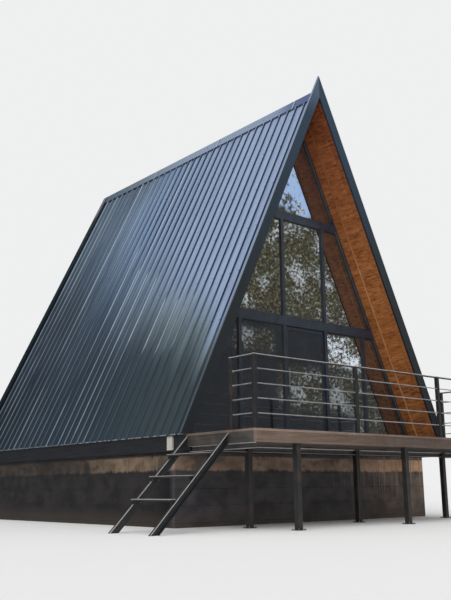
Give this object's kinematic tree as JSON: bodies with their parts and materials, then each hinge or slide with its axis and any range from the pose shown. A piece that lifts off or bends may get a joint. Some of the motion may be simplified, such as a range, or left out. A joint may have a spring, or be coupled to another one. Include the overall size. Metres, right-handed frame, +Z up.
{
  "type": "a-frame cabin",
  "caption": "A-frame cabin with ribbed metal roof slopes down to the floor, a glazed gable with a door, a raised deck with railing and an open stair.",
  "frame": {"origin": "middle of the front foundation wall's underside, on the level the cabin stands on, under the outer face of the glazed gable", "axes": "+Z up, +Y back along the ridge, +X to the right seen from the front"},
  "size_m": [7.6128, 9.02, 8.0968],
  "materials": {
    "concrete": "raw concrete with a dark coat below",
    "dark_beam": "satin, weathered",
    "floor_wood": "oiled boards",
    "frame_wood": "sawn softwood",
    "roof_metal": "satin, dark blue-grey coated steel",
    "trim_metal": "satin, dark slate coated steel",
    "cap_metal": "satin, paler blue-grey coated steel",
    "lining_wood": "orange-brown stained boards",
    "frame_metal": "anthracite powder coat",
    "glass": "clear, reflective",
    "handle_metal": "satin",
    "deck_wood": "grey-brown composite boards",
    "steel": "dark paint",
    "box_plastic": "off-white, faded"
  },
  "bodies": {
    "cabin": {"front_foundation_wall": "concrete", "back_foundation_wall": "concrete", "left_foundation_wall": "concrete", "right_foundation_wall": "concrete", "side_edge_beams": "dark_beam", "end_edge_beams": "dark_beam", "cabin_floor": "floor_wood", "loft_floor": "floor_wood", "left_rafters": "frame_wood", "right_rafters": "frame_wood", "left_boarding": "frame_wood", "right_boarding": "frame_wood", "floor_joists": "frame_wood", "loft_ties": "frame_wood", "left_roof_sheets": "roof_metal", "right_roof_sheets": "roof_metal", "ridge_cap": "cap_metal", "front_left_verge": "trim_metal", "front_right_verge": "trim_metal", "back_left_verge": "trim_metal", "back_right_verge": "trim_metal", "left_lining": "lining_wood", "right_lining": "lining_wood", "back_wall": "lining_wood", "left_slanted_frame": "frame_metal", "right_slanted_frame": "frame_metal", "front_sill": "frame_metal", "mid_beam": "frame_metal", "top_transom": "frame_metal", "mullions": "frame_metal", "door_hinges": "frame_metal", "back_window_frames": "frame_metal", "gable_glass": "glass", "back_window_glass": "glass", "deck_boards": "deck_wood", "deck_joists": "deck_wood", "front_fascia": "deck_wood", "side_fascias": "deck_wood", "stair_treads": "deck_wood", "deck_beams": "steel", "deck_posts": "steel", "front_railing": "steel", "left_railing": "steel", "right_railing": "steel", "stair_stringers": "steel", "service_box_left": "box_plastic"},
    "door": {"door_leaf": "frame_metal", "door_glass": "glass", "door_handles": "handle_metal"}
  },
  "joints": [
    {"name": "door_hinge", "type": "hinge", "parent": "cabin", "child": "door", "pos_m": [0.485, 0.089, 2.3], "axis": [0, 0, -1], "range_deg": [0, 95]}
  ]
}
